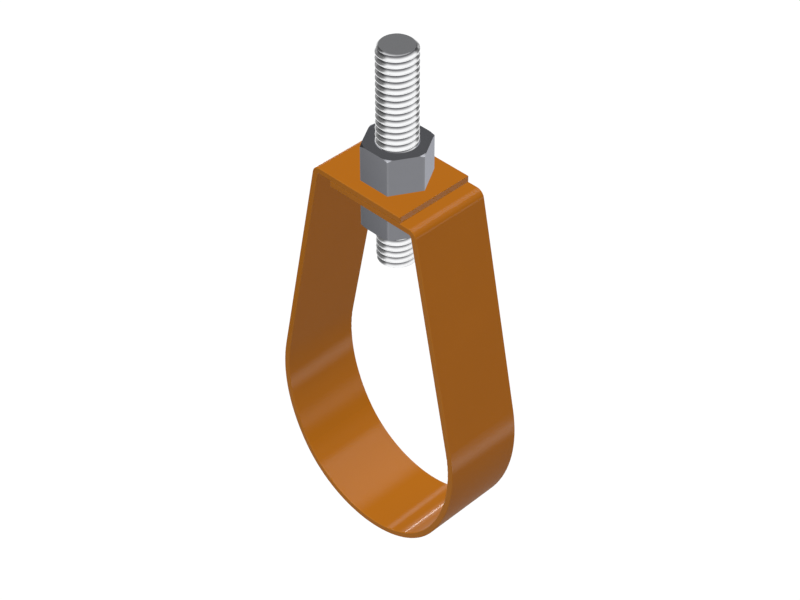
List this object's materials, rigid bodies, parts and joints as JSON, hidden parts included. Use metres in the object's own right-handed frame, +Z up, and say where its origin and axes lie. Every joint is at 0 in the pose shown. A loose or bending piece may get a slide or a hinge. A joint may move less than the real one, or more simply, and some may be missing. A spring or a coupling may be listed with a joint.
{
  "type": "band hanger",
  "caption": "Teardrop metal strip that carries a pipe, its overlapping top flaps clamped between hexagon nuts on an upright threaded rod, so that its height can be set.",
  "frame": {"origin": "centre of the round seat, which is the centre of the pipe it carries, on the rod's axis", "axes": "+Z up along the rod, +Y along the pipe, +X across the pipe, towards the leg with the lower flap"},
  "size_m": [0.0558, 0.021, 0.1323],
  "materials": {
    "band": "copper-coloured coat on steel strip, semi-gloss",
    "nut": "plain mid-grey steel",
    "rod": "bright zinc plate"
  },
  "bodies": {
    "rod": {"threaded_rod": "rod"},
    "band": {"band": "band"},
    "upper_nut": {"upper_nut": "nut"},
    "lower_nut": {"lower_nut": "nut"}
  },
  "joints": [
    {"name": "band_slide", "type": "slide", "parent": "rod", "child": "band", "axis": [0, 0, 1], "range_m": [-0.00953, 0.01905]},
    {"name": "upper_nut_turn", "type": "hinge", "parent": "band", "child": "upper_nut", "pos_m": [0, 0, 0.0736], "axis": [0, 0, 1], "range_deg": [-2180, 4340]},
    {"name": "lower_nut_turn", "type": "hinge", "parent": "band", "child": "lower_nut", "pos_m": [0, 0, 0.0705], "axis": [0, 0, 1], "range_deg": [-2180, 4340]}
  ],
  "couplings": [
    {"joint": "upper_nut_turn", "follows": "band_slide", "rad_per_m": 3957.9},
    {"joint": "lower_nut_turn", "follows": "band_slide", "rad_per_m": 3957.9}
  ]
}
